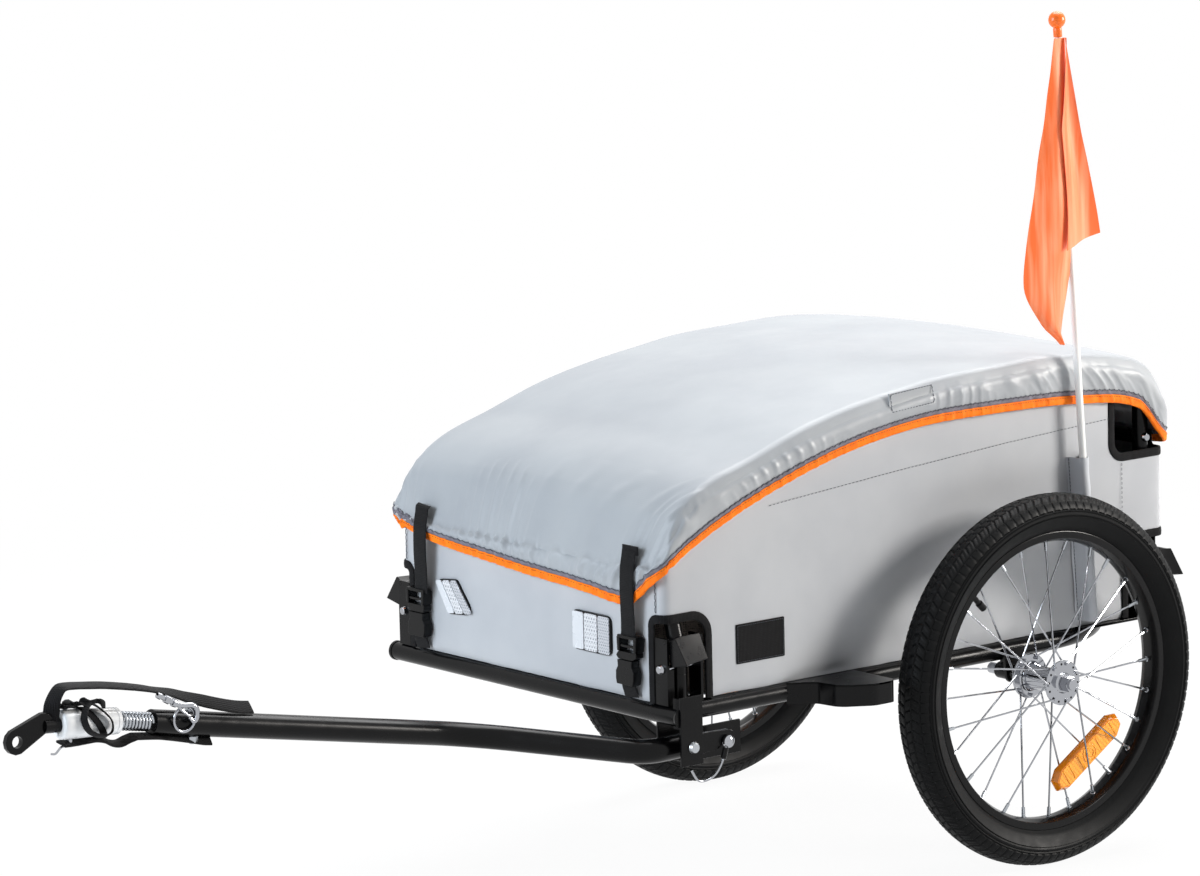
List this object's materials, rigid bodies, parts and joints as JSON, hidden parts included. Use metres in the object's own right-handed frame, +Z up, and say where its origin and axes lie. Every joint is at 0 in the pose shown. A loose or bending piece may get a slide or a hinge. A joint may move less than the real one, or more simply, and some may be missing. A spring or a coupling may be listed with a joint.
{
  "type": "bike cargo trailer",
  "caption": "Bicycle cargo trailer: tubular frame on two spoked wheels, soft cloth box with a domed cover, side tow arm with a spring coupler, and a safety flag",
  "frame": {"origin": "centre of the bounding box at ground level", "axes": "+Z up; the hitch points towards -Y; the tow arm and the flag are on the +X side"},
  "size_m": [0.65, 1.4153, 0.9028],
  "materials": {
    "frame_black": "black powder coat, satin",
    "rim_black": "black enamel, satin",
    "black_plastic": "moulded, fine grain",
    "zinc": "zinc plated",
    "chrome": "polished",
    "silver_paint": "silver enamel",
    "tyre_rubber": "moulded tread",
    "silver_cloth": "silver coated woven cloth",
    "orange_trim": "woven binding tape",
    "flag_cloth": "thin bright sheet",
    "black_webbing": "woven webbing",
    "floor_board": "black board",
    "amber_lens": "moulded prismatic lens",
    "clear_lens": "moulded prismatic lens",
    "orange_plastic": "moulded",
    "white_plastic": "glass fibre rod"
  },
  "bodies": {
    "chassis": {"base_rail": "frame_black", "front_rail": "frame_black", "fabric_tub": "silver_cloth", "floor_panel": "floor_board", "side_frame_left": "frame_black", "side_frame_right": "frame_black", "rear_top_bar": "frame_black", "rear_bar_bolt_left": "chrome", "rear_bar_bolt_right": "chrome", "window_binding_left": "black_webbing", "window_binding_right": "black_webbing", "corner_bracket_front_left": "frame_black", "corner_bracket_front_right": "frame_black", "corner_bracket_rear_left": "frame_black", "corner_bracket_rear_right": "frame_black", "corner_bolt_front_left": "chrome", "corner_bolt_front_right": "chrome", "corner_bolt_rear_left": "chrome", "corner_bolt_rear_right": "chrome", "corner_binding_front_left": "black_webbing", "corner_binding_front_right": "black_webbing", "corner_binding_rear_left": "black_webbing", "corner_binding_rear_right": "black_webbing", "pivot_bolt": "zinc", "strap_buckle_left": "black_plastic", "strap_buckle_right": "black_plastic", "front_reflector_left": "clear_lens", "front_reflector_right": "clear_lens"},
    "axle_left": {"axle_left": "chrome"},
    "axle_right": {"axle_right": "chrome"},
    "wheel_left": {"tyre_left": "tyre_rubber", "rim_left": "rim_black", "hub_spokes_left": "chrome", "wheel_reflector_left": "amber_lens"},
    "wheel_right": {"tyre_right": "tyre_rubber", "rim_right": "rim_black", "hub_spokes_right": "chrome", "wheel_reflector_right": "amber_lens"},
    "latch_front_left": {"latch_block_front_left": "black_plastic"},
    "latch_front_right": {"latch_block_front_right": "black_plastic"},
    "latch_rear_left": {"latch_block_rear_left": "black_plastic"},
    "latch_rear_right": {"latch_block_rear_right": "black_plastic"},
    "cover": {"cover": "silver_cloth", "cover_binding": "orange_trim", "cover_strap_left": "black_webbing", "cover_strap_right": "black_webbing"},
    "flag": {"flag_pole": "white_plastic", "pennant": "flag_cloth", "flag_ball": "orange_plastic"},
    "tow_arm": {"tow_arm": "frame_black", "snap_hook": "chrome"},
    "lock_pin": {"lock_pin": "chrome"},
    "coupler_link": {"flex_link": "zinc", "coupler_spring": "zinc"},
    "coupler": {"coupler_sleeve": "silver_paint", "hitch_plate": "frame_black", "safety_strap": "black_webbing"},
    "retaining_pin": {"retaining_pin": "chrome"}
  },
  "joints": [
    {"name": "axle_left_pull", "type": "slide", "parent": "chassis", "child": "axle_left", "axis": [1, 0, 0], "range_m": [0, 0.05]},
    {"name": "wheel_left_spin", "type": "hinge", "parent": "axle_left", "child": "wheel_left", "pos_m": [0.2825, 0.46785, 0.2], "axis": [1, 0, 0], "continuous": true},
    {"name": "axle_right_pull", "type": "slide", "parent": "chassis", "child": "axle_right", "axis": [-1, 0, 0], "range_m": [0, 0.05]},
    {"name": "wheel_right_spin", "type": "hinge", "parent": "axle_right", "child": "wheel_right", "pos_m": [-0.2825, 0.46785, 0.2], "axis": [1, 0, 0], "continuous": true},
    {"name": "latch_front_left_lift", "type": "hinge", "parent": "chassis", "child": "latch_front_left", "pos_m": [0.2262, 0.01735, 0.3], "axis": [0, -1, 0], "range_deg": [0, 75]},
    {"name": "latch_front_right_lift", "type": "hinge", "parent": "chassis", "child": "latch_front_right", "pos_m": [-0.2262, 0.01735, 0.3], "axis": [0, 1, 0], "range_deg": [0, 75]},
    {"name": "latch_rear_left_lift", "type": "hinge", "parent": "chassis", "child": "latch_rear_left", "pos_m": [0.2262, 0.67585, 0.3], "axis": [0, -1, 0], "range_deg": [0, 75]},
    {"name": "latch_rear_right_lift", "type": "hinge", "parent": "chassis", "child": "latch_rear_right", "pos_m": [-0.2262, 0.67585, 0.3], "axis": [0, 1, 0], "range_deg": [0, 75]},
    {"name": "cover_lift", "type": "slide", "parent": "chassis", "child": "cover", "axis": [0, 0, 1], "range_m": [0, 0.25]},
    {"name": "flag_lift", "type": "slide", "parent": "chassis", "child": "flag", "axis": [0, -0.0646, 0.9979], "range_m": [0, 0.17]},
    {"name": "tow_arm_fold", "type": "hinge", "parent": "chassis", "child": "tow_arm", "pos_m": [0.225, 0.01045, 0.1916], "axis": [1, 0, 0], "range_deg": [0, 70]},
    {"name": "lock_pin_pull", "type": "slide", "parent": "chassis", "child": "lock_pin", "axis": [1, 0, 0], "range_m": [0, 0.04]},
    {"name": "coupler_yaw", "type": "hinge", "parent": "tow_arm", "child": "coupler_link", "pos_m": [0.075, -0.55198, 0.27845], "axis": [0, 0, 1], "range_deg": [-30, 30], "stiffness_Nm_per_rad": 20, "deforming": ["coupler_spring", "safety_strap"]},
    {"name": "coupler_pitch", "type": "hinge", "parent": "coupler_link", "child": "coupler", "pos_m": [0.075, -0.55198, 0.27845], "axis": [1, 0, 0], "range_deg": [-25, 25], "stiffness_Nm_per_rad": 20, "deforming": ["coupler_spring", "safety_strap"]},
    {"name": "retaining_pin_pull", "type": "slide", "parent": "coupler", "child": "retaining_pin", "axis": [0, 0, -1], "range_m": [0, 0.045]}
  ]
}
